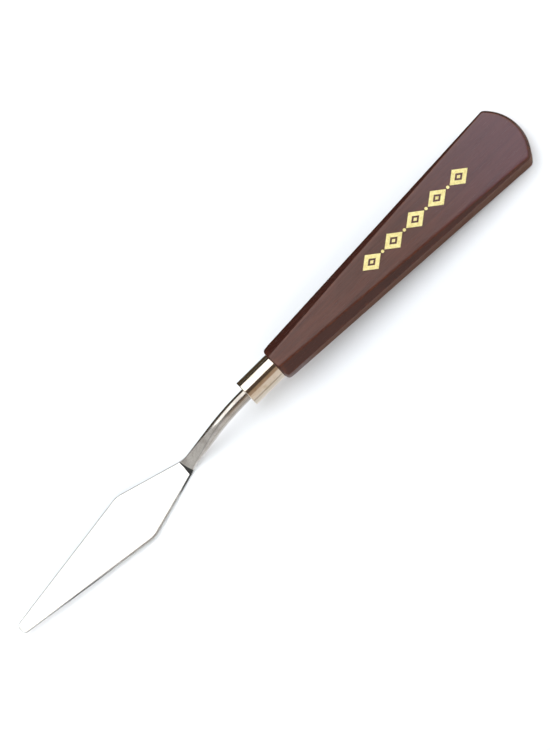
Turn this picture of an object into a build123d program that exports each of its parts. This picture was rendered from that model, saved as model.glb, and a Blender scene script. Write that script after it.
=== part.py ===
from build123d import *
from math import atan2, cos, radians, sin
import os

# A painting knife (palette knife): a taper-ground spring-steel blade on a cranked steel neck,
# whose tang is glued into a bevelled hardwood handle behind a drawn brass ferrule.
# Sizes are in millimetres. +X runs from the blade's tip to the butt of the handle, +Z is up.
# The knife lies as it does on a table, on the foot of its neck and the lower edge of its butt.
#
# Places are given along the handle: u from the handle's front shoulder towards the butt,
# v across, and w up from the handle's axis. Three planes carry the sketches:
#   TOP         looks down on the knife: u, v
#   SIDE        the knife's middle plane: u, w
#   station(u)  square to the handle's axis: v, w

# ---- handle ----
HANDLE_LENGTH = 111.0
HANDLE_THICKNESS = 10.4
HANDLE_FRONT_WIDTH = 12.0
HANDLE_BUTT_WIDTH = 22.9
FACE_FRONT_WIDTH = 4.8  # flat top and bottom faces, between the bevels
FACE_BUTT_WIDTH = 21.4
BEVEL_DEPTH_FRONT = 2.7  # how far the bevels reach down the sides
BEVEL_DEPTH_BUTT = 0.6
BUTT_BULGE = 4.9  # the rounded butt stands this far behind its corners
BUTT_CORNER_RADIUS = 2.2
EDGE_RADIUS = 0.9  # along the sides and round the butt
NOSE_RADIUS = 1.9  # the front shoulder rounds in towards the ferrule

# ---- ferrule ----
FERRULE_DIAMETER = 9.6
FERRULE_LENGTH = 13.3
FERRULE_WALL = 0.45
FERRULE_EDGE_RADIUS = 0.35
SLIDE_GAP = 0.02  # radial gap round the wooden spigot and round the rod

# ---- neck: a round rod, cranked down and flattened into the foot that carries the blade ----
ROD_DIAMETER = 4.3
NECK_REACH = 31.6  # from the ferrule's front to the blade's heel, along the handle's axis
CRANK_ANGLE = 36.0
CRANK_RADIUS = 29.0
FOOT_RADIUS = 4.0
FOOT_WIDTH = 6.1
FOOT_THICKNESS = 1.1
FOOT_SPREAD = 4.5  # the foot widens over this last stretch
WAIST_WIDTH = 4.6  # the flattened rod just behind the foot
WAIST_THICKNESS = 1.7
WAIST_DISTANCE = 3.0  # from the blade's heel
ROUND_LENGTH = 8.0  # the rod stays round for this far in front of the ferrule
NECK_SECTIONS = 29
TANG_DEPTH = 31.0
TANG_GROOVES = 3  # rings cut into the tang, which key it into the adhesive
TANG_GROOVE_PITCH = 7.0
TANG_GROOVE_DEPTH = 0.4
BORE_DIAMETER = 5.5
BORE_DEPTH = 33.0

# ---- blade ----
BLADE_DROP = 14.6  # from the handle's axis down to the middle of the blade's heel
BLADE_LENGTH = 75.5
BLADE_SHOULDER = 52.9  # from the tip to the widest place
BLADE_WIDTH = 19.1  # across the two corners, before they are rounded
BLADE_TIP_WIDTH = 3.9
BLADE_HEEL_THICKNESS = 0.8
BLADE_TIP_THICKNESS = 0.4
BLADE_SHOULDER_RADIUS = 14.0
BLADE_TIP_RADIUS = 1.6
HINGE_GAP = 0.04  # between the blade's rounded heel and the hollow in the foot

# ---- gold-foil ornament on the top face ----
FOIL_START = 45.6
FOIL_PITCH = 9.9
FOIL_LOZENGES = 5
LOZENGE_LENGTH = 8.2
LOZENGE_WIDTH = 6.4
LOZENGE_HOLLOW = 0.46  # size of the hollow inside a lozenge, as a share of the lozenge
LOZENGE_HEART = 0.2  # size of the small solid lozenge in its middle
FOIL_DOT_RADIUS = 0.55
FOIL_THICKNESS = 0.05
FOIL_OFFSET = 0.9  # the stamp sits a little to one side of the middle

# ---- derived sizes ----
half_thickness = HANDLE_THICKNESS / 2
ferrule_radius = FERRULE_DIAMETER / 2
rod_radius = ROD_DIAMETER / 2
heel_radius = BLADE_HEEL_THICKNESS / 2
butt_corner_u = HANDLE_LENGTH - BUTT_BULGE
spigot_length = FERRULE_LENGTH - FERRULE_WALL - SLIDE_GAP
heel_u = -FERRULE_LENGTH - NECK_REACH
tip_u = heel_u - BLADE_LENGTH
blade_underside = -BLADE_DROP - heel_radius

# The neck's centre line: an arc down, a straight run, and an arc back level with the handle.
crank = radians(CRANK_ANGLE)
arc_drops = (CRANK_RADIUS + FOOT_RADIUS) * (1 - cos(crank))
run_length = (BLADE_DROP - arc_drops) / sin(crank)
run_start_u = -FERRULE_LENGTH - CRANK_RADIUS * sin(crank)
run_start_w = -CRANK_RADIUS * (1 - cos(crank))
foot_u = run_start_u - run_length * cos(crank) - FOOT_RADIUS * sin(crank)
run_start = CRANK_RADIUS * crank
run_end = run_start + run_length
foot_start = run_end + FOOT_RADIUS * crank
neck_length = foot_start + foot_u - heel_u

# The knife rests where the foot's underside and the butt's lower edge touch the table.
foot_underside = -BLADE_DROP - FOOT_THICKNESS / 2
butt_rest_u = HANDLE_LENGTH - EDGE_RADIUS
tilt = atan2(-foot_underside - half_thickness, butt_rest_u - foot_u)
along = Vector(cos(tilt), 0, -sin(tilt))
across = Vector(0, 1, 0)
upright = Vector(sin(tilt), 0, cos(tilt))
butt_x = butt_rest_u * cos(tilt) + (half_thickness - EDGE_RADIUS) * sin(tilt) + EDGE_RADIUS
tip_x = tip_u * cos(tilt) + blade_underside * sin(tilt)
rest_height = foot_u * sin(tilt) - foot_underside * cos(tilt)
shoulder = Vector(-(butt_x + tip_x) / 2, 0, rest_height)

TOP = Plane(origin=shoulder, x_dir=along, z_dir=upright)
SIDE = Plane(origin=shoulder, x_dir=along, z_dir=-across)
HANDLE_AXIS = Axis(shoulder, along)


def station(u):
    """The plane square to the handle's axis at u, facing the butt."""
    return Plane(origin=shoulder + along * u, x_dir=across, z_dir=along)


def between(front, butt, u):
    """A size that grows evenly from the handle's front to its butt corners."""
    return front + (butt - front) * u / butt_corner_u


def bevel_section(u):
    """Six-sided section whose slanted sides are the handle's four bevels at u."""
    half_face = between(FACE_FRONT_WIDTH, FACE_BUTT_WIDTH, u) / 2
    half_width = between(HANDLE_FRONT_WIDTH, HANDLE_BUTT_WIDTH, u) / 2
    depth = between(BEVEL_DEPTH_FRONT, BEVEL_DEPTH_BUTT, u)
    ridge = half_face + (half_width - half_face) * half_thickness / depth
    with BuildSketch(station(u)) as section:
        with BuildLine():
            Polyline(
                (ridge, 0),
                (half_face, half_thickness),
                (-half_face, half_thickness),
                (-ridge, 0),
                (-half_face, -half_thickness),
                (half_face, -half_thickness),
                close=True,
            )
        make_face()
    return section.sketch


# Hardwood handle: a tapered slab with rounded butt, four long bevels, and a round spigot in front.
with BuildPart() as handle:
    front_half = HANDLE_FRONT_WIDTH / 2
    butt_half = HANDLE_BUTT_WIDTH / 2
    with BuildSketch(TOP.offset(-half_thickness)) as outline:
        with BuildLine():
            Polyline(
                (butt_corner_u, butt_half),
                (0, front_half),
                (0, -front_half),
                (butt_corner_u, -butt_half),
            )
            ThreePointArc(
                (butt_corner_u, -butt_half), (HANDLE_LENGTH, 0), (butt_corner_u, butt_half)
            )
        make_face()
        butt_corners = outline.vertices().sort_by(SortBy.DISTANCE, reverse=True)[0:2]
        fillet(butt_corners, BUTT_CORNER_RADIUS)
    extrude(amount=HANDLE_THICKNESS)
    flat_faces = handle.faces().filter_by(TOP)
    front_face = handle.faces().sort_by(HANDLE_AXIS)[0]
    rounded_edges = flat_faces.edges() - front_face.edges()
    fillet(rounded_edges, EDGE_RADIUS)
    loft([bevel_section(0), bevel_section(HANDLE_LENGTH)], ruled=True, mode=Mode.INTERSECT)
    with BuildSketch(SIDE):
        with BuildLine():
            Polyline(
                (0, ferrule_radius),
                (0, 0),
                (HANDLE_LENGTH + 1, 0),
                (HANDLE_LENGTH + 1, HANDLE_BUTT_WIDTH),
                (NOSE_RADIUS, ferrule_radius + NOSE_RADIUS),
            )
            RadiusArc(
                (NOSE_RADIUS, ferrule_radius + NOSE_RADIUS), (0, ferrule_radius), -NOSE_RADIUS
            )
        make_face()
    revolve(axis=HANDLE_AXIS, mode=Mode.INTERSECT)
    with BuildSketch(station(0)):
        Circle(ferrule_radius - FERRULE_WALL - SLIDE_GAP)
    extrude(amount=-spigot_length)
    with BuildSketch(station(BORE_DEPTH)):
        Circle(BORE_DIAMETER / 2)
    extrude(amount=-BORE_DEPTH - spigot_length, mode=Mode.SUBTRACT)

# Brass ferrule: a drawn cup over the spigot, with a punched hole in front for the rod.
with BuildPart() as ferrule:
    with BuildSketch(SIDE) as cup:
        with BuildLine():
            Polyline(
                (-FERRULE_LENGTH, rod_radius + SLIDE_GAP),
                (-FERRULE_LENGTH, ferrule_radius),
                (0, ferrule_radius),
                (0, ferrule_radius - FERRULE_WALL),
                (FERRULE_WALL - FERRULE_LENGTH, ferrule_radius - FERRULE_WALL),
                (FERRULE_WALL - FERRULE_LENGTH, rod_radius + SLIDE_GAP),
                close=True,
            )
        make_face()
    revolve(axis=HANDLE_AXIS)
    circles = ferrule.edges().filter_by(GeomType.CIRCLE).sort_by(SortBy.RADIUS)
    fillet(circles[-2:], FERRULE_EDGE_RADIUS)


def neck_plane(distance):
    """The plane square to the neck's centre line, at a distance along it from the ferrule."""
    if distance < run_start:
        pitch = distance / CRANK_RADIUS
        u = -FERRULE_LENGTH - CRANK_RADIUS * sin(pitch)
        w = -CRANK_RADIUS * (1 - cos(pitch))
    elif distance < run_end:
        pitch = crank
        u = run_start_u - (distance - run_start) * cos(crank)
        w = run_start_w - (distance - run_start) * sin(crank)
    else:
        pitch = max(foot_start - distance, 0) / FOOT_RADIUS
        u = foot_u + FOOT_RADIUS * sin(pitch) - max(distance - foot_start, 0)
        w = FOOT_RADIUS * (1 - cos(pitch)) - BLADE_DROP
    slope = along * cos(pitch) + upright * sin(pitch)
    return Plane(origin=shoulder + along * u + upright * w, x_dir=across, z_dir=slope)


def ramp(distance, start, end):
    """Rises evenly from 0 at start to 1 at end, and stays level outside them."""
    return min(max((distance - start) / (end - start), 0), 1)


def neck_section(distance):
    """The rod's section: round, then flatter and wider, and last spread into the foot."""
    waist = neck_length - WAIST_DISTANCE
    rise = ramp(distance, ROUND_LENGTH, waist)
    flatness = rise * rise * (3 - 2 * rise)
    spread = ramp(distance, neck_length - FOOT_SPREAD, neck_length) ** 2
    thinning = ramp(distance, waist, neck_length)
    width = ROD_DIAMETER + (WAIST_WIDTH - ROD_DIAMETER) * flatness
    width += (FOOT_WIDTH - WAIST_WIDTH) * spread
    thickness = ROD_DIAMETER + (WAIST_THICKNESS - ROD_DIAMETER) * flatness
    thickness += (FOOT_THICKNESS - WAIST_THICKNESS) * thinning
    roundness = 0.98 - 0.28 * flatness  # corner radius as a share of half the thickness
    with BuildSketch(neck_plane(distance)) as section:
        RectangleRounded(width, thickness, roundness * thickness / 2)
    return section.sketch


# Steel neck: a round tang, then the cranked rod, flattened step by step towards the foot, whose
# end is hollowed to take the blade's rounded heel.
with BuildPart() as neck:
    with BuildSketch(station(-FERRULE_LENGTH)):
        Circle(rod_radius)
    extrude(amount=FERRULE_LENGTH + TANG_DEPTH)
    loft([neck_section(neck_length * step / (NECK_SECTIONS - 1)) for step in range(NECK_SECTIONS)])
    with BuildSketch(SIDE):
        with Locations((heel_u, -BLADE_DROP)):
            Circle(heel_radius + HINGE_GAP)
    extrude(amount=FOOT_WIDTH, both=True, mode=Mode.SUBTRACT)
    with BuildSketch(SIDE):
        for ring in range(TANG_GROOVES):
            ring_u = TANG_DEPTH - (ring + 1) * TANG_GROOVE_PITCH
            with Locations((ring_u, rod_radius)):
                Rectangle(2 * TANG_GROOVE_DEPTH, 2 * TANG_GROOVE_DEPTH)
    revolve(axis=HANDLE_AXIS, mode=Mode.SUBTRACT)

# Cured adhesive: fills the bore round the tang.
with BuildPart() as tang_adhesive:
    with BuildSketch(station(BORE_DEPTH)):
        Circle(BORE_DIAMETER / 2)
    extrude(amount=-BORE_DEPTH - spigot_length)
    add(neck.part, mode=Mode.SUBTRACT)

# Spring-steel blade: a long diamond with a small round tip, flat below and ground thinner above
# towards the tip. Its heel is rounded about the line that it flexes on.
with BuildPart() as blade:
    with BuildSketch(SIDE):
        with BuildLine():
            tip_top = blade_underside + BLADE_TIP_THICKNESS
            heel_top = blade_underside + BLADE_HEEL_THICKNESS
            Polyline(
                (heel_u, heel_top),
                (tip_u, tip_top),
                (tip_u, blade_underside),
                (heel_u, blade_underside),
            )
            ThreePointArc(
                (heel_u, blade_underside), (heel_u + heel_radius, -BLADE_DROP), (heel_u, heel_top)
            )
        make_face()
    extrude(amount=BLADE_WIDTH, both=True)
    with BuildSketch(TOP.offset(blade_underside)) as outline:
        shoulder_u = tip_u + BLADE_SHOULDER
        heel_half = FOOT_WIDTH / 2
        with BuildLine():
            Polyline(
                (tip_u, BLADE_TIP_WIDTH / 2),
                (shoulder_u, BLADE_WIDTH / 2),
                (heel_u, heel_half),
                (heel_u + heel_radius, heel_half),
                (heel_u + heel_radius, -heel_half),
                (heel_u, -heel_half),
                (shoulder_u, -BLADE_WIDTH / 2),
                (tip_u, -BLADE_TIP_WIDTH / 2),
                close=True,
            )
        make_face()
        tip_corners = outline.vertices().group_by(HANDLE_AXIS)[0]
        fillet(tip_corners, BLADE_TIP_RADIUS)
        across_blade = outline.vertices().sort_by(Axis.Y)
        fillet([across_blade[0], across_blade[-1]], BLADE_SHOULDER_RADIUS)
    extrude(amount=BLADE_HEEL_THICKNESS, mode=Mode.INTERSECT)

# Gold foil stamped on the top face: a plain row of open lozenges with dots between them.
with BuildPart() as foil_ornament:
    with BuildSketch(TOP.offset(half_thickness)):
        for row in range(FOIL_LOZENGES):
            middle_u = FOIL_START + row * FOIL_PITCH
            rings = ((1, Mode.ADD), (LOZENGE_HOLLOW, Mode.SUBTRACT), (LOZENGE_HEART, Mode.ADD))
            for size, mode in rings:
                half_length = size * LOZENGE_LENGTH / 2
                half_width = size * LOZENGE_WIDTH / 2
                with BuildLine():
                    Polyline(
                        (middle_u - half_length, FOIL_OFFSET),
                        (middle_u, FOIL_OFFSET + half_width),
                        (middle_u + half_length, FOIL_OFFSET),
                        (middle_u, FOIL_OFFSET - half_width),
                        close=True,
                    )
                make_face(mode=mode)
        for gap in range(FOIL_LOZENGES - 1):
            with Locations((FOIL_START + (gap + 0.5) * FOIL_PITCH, FOIL_OFFSET)):
                Circle(FOIL_DOT_RADIUS)
    extrude(amount=FOIL_THICKNESS)

os.makedirs("parts", exist_ok=True)

handle.part.label = "handle"
export_step(handle.part, "parts/handle.step")

ferrule.part.label = "ferrule"
export_step(ferrule.part, "parts/ferrule.step")

neck.part.label = "neck"
export_step(neck.part, "parts/neck.step")

tang_adhesive.part.label = "tang_adhesive"
export_step(tang_adhesive.part, "parts/tang_adhesive.step")

blade.part.label = "blade"
export_step(blade.part, "parts/blade.step")

foil_ornament.part.label = "foil_ornament"
export_step(foil_ornament.part, "parts/foil_ornament.step")
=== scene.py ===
import math

import bmesh
import bpy
import numpy as np
from mathutils import Matrix, Vector, noise


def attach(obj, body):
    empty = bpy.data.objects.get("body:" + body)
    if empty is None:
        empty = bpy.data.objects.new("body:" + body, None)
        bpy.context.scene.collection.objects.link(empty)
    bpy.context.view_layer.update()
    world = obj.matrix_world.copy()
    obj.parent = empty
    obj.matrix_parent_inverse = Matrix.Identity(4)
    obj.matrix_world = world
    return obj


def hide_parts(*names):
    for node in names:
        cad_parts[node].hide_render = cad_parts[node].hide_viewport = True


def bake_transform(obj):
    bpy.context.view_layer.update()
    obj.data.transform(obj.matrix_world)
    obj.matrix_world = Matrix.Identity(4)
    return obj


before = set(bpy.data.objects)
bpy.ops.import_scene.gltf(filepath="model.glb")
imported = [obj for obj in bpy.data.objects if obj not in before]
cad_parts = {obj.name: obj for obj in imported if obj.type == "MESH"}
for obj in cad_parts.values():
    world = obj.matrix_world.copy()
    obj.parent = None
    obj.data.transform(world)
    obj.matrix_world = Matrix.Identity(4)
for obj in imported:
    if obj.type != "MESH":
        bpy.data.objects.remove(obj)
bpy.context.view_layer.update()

# The looks of the painting knife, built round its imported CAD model.
# Places are given as in the CAD: u along the handle from its front shoulder towards the butt,
# v across, w up from the handle's axis, all in millimetres. place() turns them into the frame.
# The near side is the one towards the camera, v below 0.

MM = 0.001
MERGE_DISTANCE = 1e-4  # points closer than this are one point
COLLAPSE_DISTANCE = 1e-5

# ---- driving dimensions of the CAD, in millimetres ----
HANDLE_LENGTH = 111.0
HANDLE_THICKNESS = 10.4
HANDLE_FRONT_WIDTH = 12.0
HANDLE_BUTT_WIDTH = 22.9
FACE_FRONT_WIDTH = 4.8
FACE_BUTT_WIDTH = 21.4
BEVEL_DEPTH_FRONT = 2.7
BEVEL_DEPTH_BUTT = 0.6
BUTT_BULGE = 4.9
BUTT_CORNER_RADIUS = 2.2
EDGE_RADIUS = 0.9
NOSE_RADIUS = 1.9

FERRULE_DIAMETER = 9.6
FERRULE_LENGTH = 13.3
FERRULE_WALL = 0.45
FERRULE_EDGE_RADIUS = 0.35
SLIDE_GAP = 0.02

ROD_DIAMETER = 4.3
NECK_REACH = 31.6
CRANK_ANGLE = 36.0
CRANK_RADIUS = 29.0
FOOT_RADIUS = 4.0
FOOT_WIDTH = 6.1
FOOT_THICKNESS = 1.1
FOOT_SPREAD = 4.5
WAIST_WIDTH = 4.6
WAIST_THICKNESS = 1.7
WAIST_DISTANCE = 3.0
ROUND_LENGTH = 8.0
TANG_DEPTH = 31.0
TANG_GROOVES = 3
TANG_GROOVE_PITCH = 7.0
TANG_GROOVE_DEPTH = 0.4
BORE_DIAMETER = 5.5
BORE_DEPTH = 33.0

BLADE_DROP = 14.6
BLADE_LENGTH = 75.5
BLADE_SHOULDER = 52.9
BLADE_WIDTH = 19.1
BLADE_TIP_WIDTH = 3.9
BLADE_HEEL_THICKNESS = 0.8
BLADE_TIP_THICKNESS = 0.4
BLADE_SHOULDER_RADIUS = 7.0  # a little sharper than in the CAD
BLADE_TIP_RADIUS = 1.6
HINGE_GAP = 0.04

# ---- derived sizes, as in the CAD ----
half_thickness = HANDLE_THICKNESS / 2
ferrule_radius = FERRULE_DIAMETER / 2
rod_radius = ROD_DIAMETER / 2
heel_radius = BLADE_HEEL_THICKNESS / 2
butt_corner_u = HANDLE_LENGTH - BUTT_BULGE
spigot_length = FERRULE_LENGTH - FERRULE_WALL - SLIDE_GAP
heel_u = -FERRULE_LENGTH - NECK_REACH
tip_u = heel_u - BLADE_LENGTH
blade_underside = -BLADE_DROP - heel_radius

crank = math.radians(CRANK_ANGLE)
arc_drops = (CRANK_RADIUS + FOOT_RADIUS) * (1 - math.cos(crank))
run_length = (BLADE_DROP - arc_drops) / math.sin(crank)
run_start_u = -FERRULE_LENGTH - CRANK_RADIUS * math.sin(crank)
foot_u = run_start_u - run_length * math.cos(crank) - FOOT_RADIUS * math.sin(crank)

foot_underside = -BLADE_DROP - FOOT_THICKNESS / 2
butt_rest_u = HANDLE_LENGTH - EDGE_RADIUS
tilt = math.atan2(-foot_underside - half_thickness, butt_rest_u - foot_u)
along = np.array([math.cos(tilt), 0.0, -math.sin(tilt)])
across = np.array([0.0, 1.0, 0.0])
upright = np.array([math.sin(tilt), 0.0, math.cos(tilt)])
butt_x = butt_rest_u * math.cos(tilt) + (half_thickness - EDGE_RADIUS) * math.sin(tilt)
butt_x += EDGE_RADIUS
tip_x = tip_u * math.cos(tilt) + blade_underside * math.sin(tilt)
rest_height = foot_u * math.sin(tilt) - foot_underside * math.cos(tilt)
shoulder = np.array([-(butt_x + tip_x) / 2, 0.0, rest_height])


def place(points):
    """Points in u, v, w millimetres as points in the frame, in metres."""
    points = np.asarray(points, float)
    frame_points = shoulder + points[..., 0:1] * along
    frame_points = frame_points + points[..., 1:2] * across + points[..., 2:3] * upright
    return frame_points * MM


def ramp(value, start, end):
    """Rises evenly from 0 at start to 1 at end, and stays level outside them."""
    return min(max((value - start) / (end - start), 0.0), 1.0)


def eased(value, start, end):
    """As ramp, with a soft start and a soft end."""
    t = ramp(value, start, end)
    return t * t * (3 - 2 * t)


# ---------------------------------------------------------------------------------------------
# Meshes
# ---------------------------------------------------------------------------------------------


def loft(name, rings, marks=None):
    """A closed skin through rings of points that all have the same count. A ring of one point
    repeated closes an end. marks holds one value for each point, kept as an attribute."""
    rings = np.asarray(rings, float)
    count, size = rings.shape[:2]
    bm = bmesh.new()
    rest = bm.verts.layers.float_vector.new("rest_uvw")
    mark = bm.verts.layers.float.new("mark")
    verts = []
    for ring in range(count):
        frame_points = place(rings[ring])
        for spot in range(size):
            vert = bm.verts.new(frame_points[spot])
            vert[rest] = Vector(rings[ring][spot])
            if marks is not None:
                vert[mark] = float(marks[ring][spot])
            verts.append(vert)
    for ring in range(count - 1):
        for spot in range(size):
            after = (spot + 1) % size
            low, high = ring * size, (ring + 1) * size
            bm.faces.new(
                (verts[low + spot], verts[low + after], verts[high + after], verts[high + spot])
            )
    bmesh.ops.remove_doubles(bm, verts=bm.verts, dist=MERGE_DISTANCE * MM)
    bmesh.ops.dissolve_degenerate(bm, edges=bm.edges, dist=COLLAPSE_DISTANCE * MM)
    bmesh.ops.recalc_face_normals(bm, faces=bm.faces)
    for face in bm.faces:
        face.smooth = True
    mesh = bpy.data.meshes.new(name)
    bm.to_mesh(mesh)
    bm.free()
    piece = bpy.data.objects.new(name, mesh)
    bpy.context.scene.collection.objects.link(piece)
    return piece


def finish_piece(piece, material, body, node):
    """Gives a piece its material, and hands it to the frame."""
    piece.data.materials.clear()
    piece.data.materials.append(material)
    if body is not None:
        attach(piece, body)
    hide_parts(node)


def bend_corner(before, corner, after, trim, steps):
    """Points of a soft corner: a curve that leaves each side trim away from the corner, or
    halfway along a side that is too short for that."""
    before, corner, after = (np.asarray(p, float) for p in (before, corner, after))
    start = corner + (before - corner) * min(trim / np.linalg.norm(before - corner), 0.5)
    end = corner + (after - corner) * min(trim / np.linalg.norm(after - corner), 0.5)
    share = np.linspace(0, 1, steps)[:, None]
    return (1 - share) ** 2 * start + 2 * share * (1 - share) * corner + share**2 * end


# ---- handle ----
# The outline is followed from the front along one side and round the butt to its middle. At
# each station a profile climbs the side wall, the bevel and the edge of the flat face.

WALL_SOFTNESS = 0.5  # how far the rounding of the lower arris reaches
FACE_SOFTNESS = 0.42  # and that of the upper one
SOFTNESS_LIMIT = 0.48  # of the bevel's width
STATION_STEP = 0.8
CORNER_STATIONS = 9
BUTT_STATIONS = 25
WALL_POINTS = 4
ARRIS_MARKS = [0.3, 0.8, 1.0, 1.0, 0.8, 0.3]  # across the rounding of an arris
BEVEL_STEPS = 6
FACE_COLUMNS = 22
NOSE_STATIONS = 12
NOSE_SHARPNESS = 30  # of the ridge where the round nose meets the flats
NOSE_WEAR = (0.3, 2.6)  # the front edge is worn, less and less between these places
BUTT_EDGE = 0.95  # rounding round the butt
BUTT_TURN = (0.15, 0.75)  # how far the outline has turned where the bevel gives way to it
BUTT_WEAR = 0.55
SPIGOT_CHAMFER = 0.3

WOBBLE = 0.045  # hand sanding leaves the faces this uneven
WOBBLE_LENGTH = 14.0
WOBBLE_FINE_LENGTH = 2.5
WOBBLE_FINE_SHARE = 0.2
WOBBLE_START = (0.1, 4.0)
KNOCK_PLACE = (107.9, -9.9, half_thickness - 0.35)
KNOCK_RADIUS = 1.1
KNOCK_DEPTH = 0.32
KNOCK_BARE = 2.2  # how steeply the bare wood comes in


def handle_outline():
    """Stations round one half of the outline: u, v, and the outward direction in plan."""
    butt_half = HANDLE_BUTT_WIDTH / 2
    front_half = HANDLE_FRONT_WIDTH / 2
    butt_radius = (butt_half**2 + BUTT_BULGE**2) / (2 * BUTT_BULGE)
    butt_centre = HANDLE_LENGTH - butt_radius
    taper = math.atan2(butt_half - front_half, butt_corner_u)

    # The corner's circle touches the side line and the butt's arc from inside.
    base = front_half - BUTT_CORNER_RADIUS / math.cos(taper)
    reach = butt_radius - BUTT_CORNER_RADIUS
    slope = math.tan(taper)
    a = 1 + slope**2
    b = 2 * (base * slope - butt_centre)
    c = butt_centre**2 + base**2 - reach**2
    corner_u = (-b + math.sqrt(b * b - 4 * a * c)) / (2 * a)
    corner_v = base + slope * corner_u
    side_end = corner_u - BUTT_CORNER_RADIUS * math.sin(taper)
    corner_turn = math.atan2(corner_u - butt_centre, corner_v)

    stations = []
    for step in range(NOSE_STATIONS):
        u = NOSE_RADIUS * (1 - math.cos(math.pi / 2 * step / NOSE_STATIONS))
        stations.append((u, front_half + slope * u, 0.0, 1.0))
    side_steps = round((side_end - NOSE_RADIUS) / STATION_STEP)
    for step in range(side_steps):
        u = NOSE_RADIUS + (side_end - NOSE_RADIUS) * step / side_steps
        stations.append((u, front_half + slope * u, 0.0, 1.0))
    for step in range(CORNER_STATIONS):
        turn = -taper + (corner_turn + taper) * step / CORNER_STATIONS
        out = (math.sin(turn), math.cos(turn))
        stations.append(
            (corner_u + BUTT_CORNER_RADIUS * out[0], corner_v + BUTT_CORNER_RADIUS * out[1], *out)
        )
    for turn in np.linspace(corner_turn, math.pi / 2, BUTT_STATIONS):
        out = (math.sin(turn), math.cos(turn))
        stations.append((butt_centre + butt_radius * out[0], butt_radius * out[1], *out))
    return stations


def side_profile(u, around_butt):
    """From the middle of the side wall up to the flat face: distance in from the wall, height.
    Also a mark that is 1 on the two arrises and 0 on the flats."""
    share = min(u / butt_corner_u, 1.0)
    half_width = HANDLE_FRONT_WIDTH + (HANDLE_BUTT_WIDTH - HANDLE_FRONT_WIDTH) * share
    half_face = FACE_FRONT_WIDTH + (FACE_BUTT_WIDTH - FACE_FRONT_WIDTH) * share
    run = (half_width - half_face) / 2
    depth = BEVEL_DEPTH_FRONT + (BEVEL_DEPTH_BUTT - BEVEL_DEPTH_FRONT) * share
    run += (BUTT_EDGE - run) * around_butt
    depth += (BUTT_EDGE - depth) * around_butt
    wall_top = (0.0, half_thickness - depth)
    face_edge = (run, half_thickness)
    on_face = (run + 2, half_thickness)
    limit = math.hypot(run, depth) * SOFTNESS_LIMIT
    count = len(ARRIS_MARKS)
    lower = bend_corner((0, 0), wall_top, face_edge, min(WALL_SOFTNESS, limit), count)
    upper = bend_corner(wall_top, face_edge, on_face, min(FACE_SOFTNESS, limit), count)
    wall = [np.array([0.0, lower[0][1] * step / WALL_POINTS]) for step in range(WALL_POINTS)]
    bevel = [
        lower[-1] + (upper[0] - lower[-1]) * step / BEVEL_STEPS for step in range(1, BEVEL_STEPS)
    ]
    points = [*wall, *lower, *bevel, *upper]
    arris = [0.0] * len(wall) + ARRIS_MARKS + [0.0] * len(bevel) + ARRIS_MARKS
    return points, arris


def handle_rings():
    """Rings from the bottom of the bore forward to the spigot's end, and back along the outside
    to the butt, and how worn each point is."""
    rings, marks = [], []
    for u, v, out_u, out_v in handle_outline():
        profile, arris = side_profile(u, eased(out_u, *BUTT_TURN))
        nose_wear = 1 - eased(u, *NOSE_WEAR)
        butt_wear = BUTT_WEAR * eased(out_u, 0.2, 0.8)
        quarter = [
            (u - inward * out_u, max(v - inward * out_v, 0.0), height)
            for inward, height in profile
        ]
        edge_u, edge_v, top = quarter[-1]
        face = [
            (edge_u, edge_v * (1 - 2 * column / FACE_COLUMNS), top)
            for column in range(1, FACE_COLUMNS)
        ]
        upper = quarter + face + [(pu, -pv, pw) for pu, pv, pw in reversed(quarter)]
        lower = [(pu, pv, -pw) for pu, pv, pw in reversed(upper[1:-1])]
        ring = np.array(upper + lower)
        spread = NOSE_RADIUS**2 - max(NOSE_RADIUS - u, 0.0) ** 2
        envelope = ferrule_radius + math.sqrt(spread) + max(u - NOSE_RADIUS, 0.0) * 3
        radius = np.hypot(ring[:, 1], ring[:, 2])
        shrink = (1 + (radius / envelope) ** NOSE_SHARPNESS) ** (-1 / NOSE_SHARPNESS)
        ring[:, 1:] *= shrink[:, None]
        worn = [max(mark, nose_wear, butt_wear) for mark in arris]
        half = worn + [nose_wear] * (FACE_COLUMNS - 1) + worn[::-1]
        rings.append(ring)
        marks.append(half + half[-2:0:-1])
    angles = np.arctan2(rings[0][:, 2], rings[0][:, 1])

    def circle(u, radius):
        return np.stack(
            [np.full(len(angles), u), radius * np.cos(angles), radius * np.sin(angles)], axis=1
        )

    spigot = ferrule_radius - FERRULE_WALL - SLIDE_GAP
    bore = BORE_DIAMETER / 2
    inside = [
        circle(BORE_DEPTH, 0.0),
        circle(BORE_DEPTH, bore),
        circle(-spigot_length, bore),
        circle(-spigot_length, spigot - SPIGOT_CHAMFER),
        circle(-spigot_length + SPIGOT_CHAMFER, spigot),
        circle(-0.3, spigot),
        circle(0.0, spigot + 0.1),
    ]
    unworn = [[0.0] * len(angles)] * len(inside)
    return inside + rings, unworn + marks


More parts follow.
